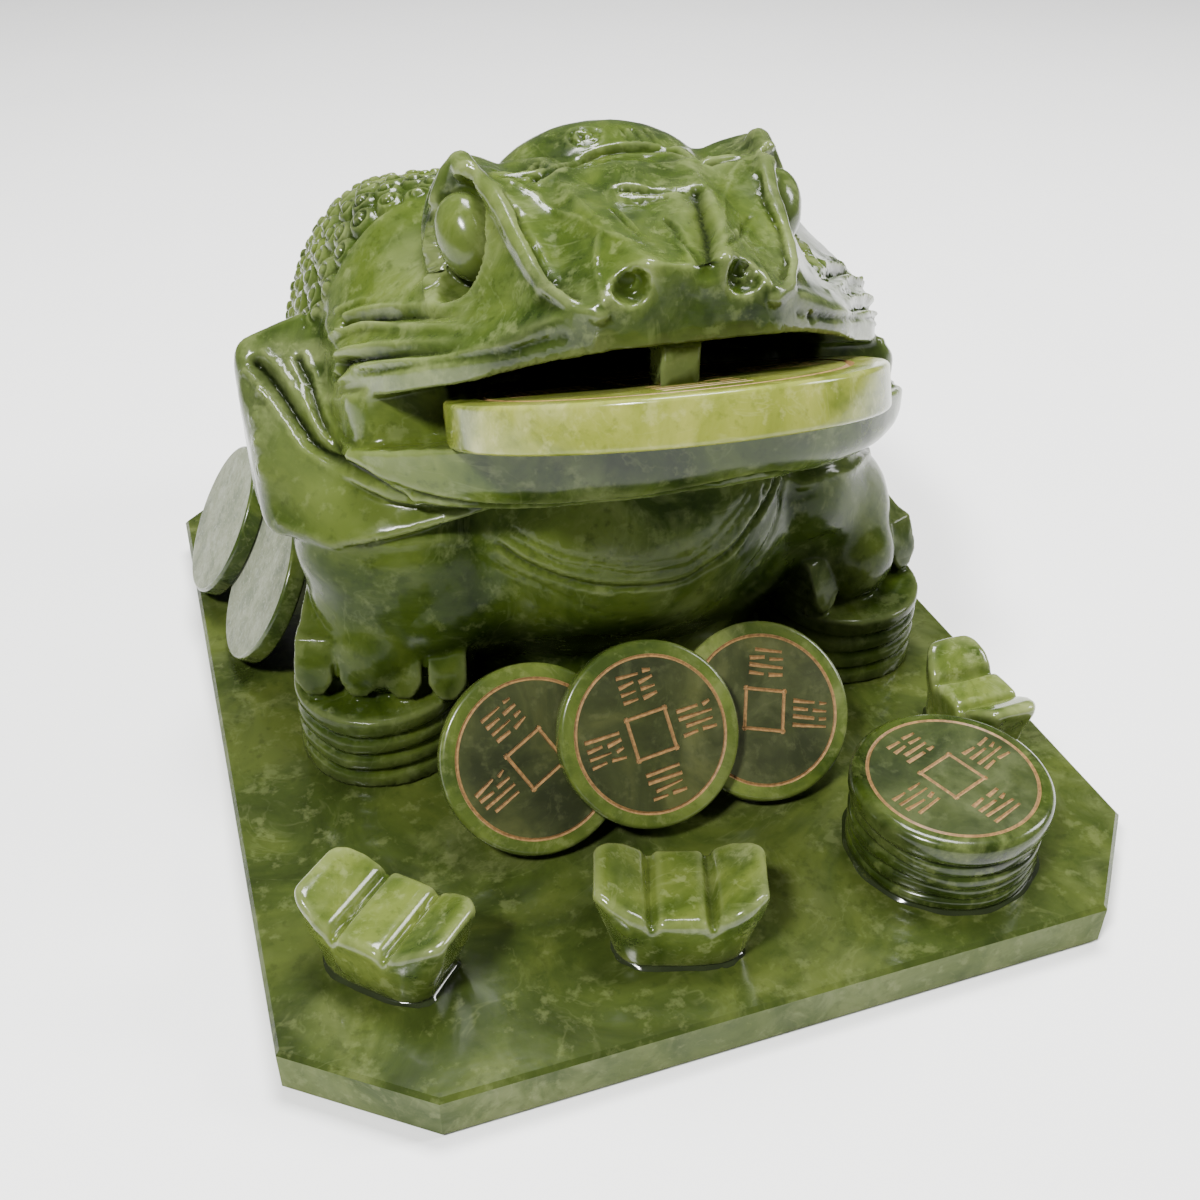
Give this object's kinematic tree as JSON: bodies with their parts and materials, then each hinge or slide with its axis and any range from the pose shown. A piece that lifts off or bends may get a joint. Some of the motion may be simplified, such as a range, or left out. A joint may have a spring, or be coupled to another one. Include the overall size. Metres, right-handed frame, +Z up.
{
  "type": "money toad figure",
  "caption": "Money toad carved in polished green stone with a coin in its mouth, on a slab with leaning coins, a coin pile and boat-shaped ingots.",
  "frame": {"origin": "middle of the slab's underside", "axes": "+Z up, the toad looks towards -Y, +X is at the right of a viewer who faces it"},
  "size_m": [0.2608, 0.33, 0.1968],
  "materials": {
    "slab_stone": "polished, mottled dark green",
    "toad_stone": "polished, mottled olive green with paler clouds",
    "mouth_coin_stone": "polished, yellow-green",
    "coin_stone": "polished, dark green with gold-brown engraving",
    "flank_coin_stone": "hazy grey-green face, dark polished rim",
    "pile_stone": "polished, mottled green with gold-brown engraving",
    "ingot_stone": "polished, pale green"
  },
  "bodies": {
    "root": {"slab": "slab_stone", "toad": "toad_stone", "mouth_coin": "mouth_coin_stone", "standing_coin_left": "coin_stone", "standing_coin_middle": "coin_stone", "standing_coin_right": "coin_stone", "flank_coin_left_upper": "flank_coin_stone", "flank_coin_left_lower": "flank_coin_stone", "flank_coin_right_upper": "flank_coin_stone", "flank_coin_right_lower": "flank_coin_stone", "coin_pile": "pile_stone", "ingot_left": "ingot_stone", "ingot_middle": "ingot_stone", "ingot_right": "ingot_stone"}
  },
  "joints": []
}
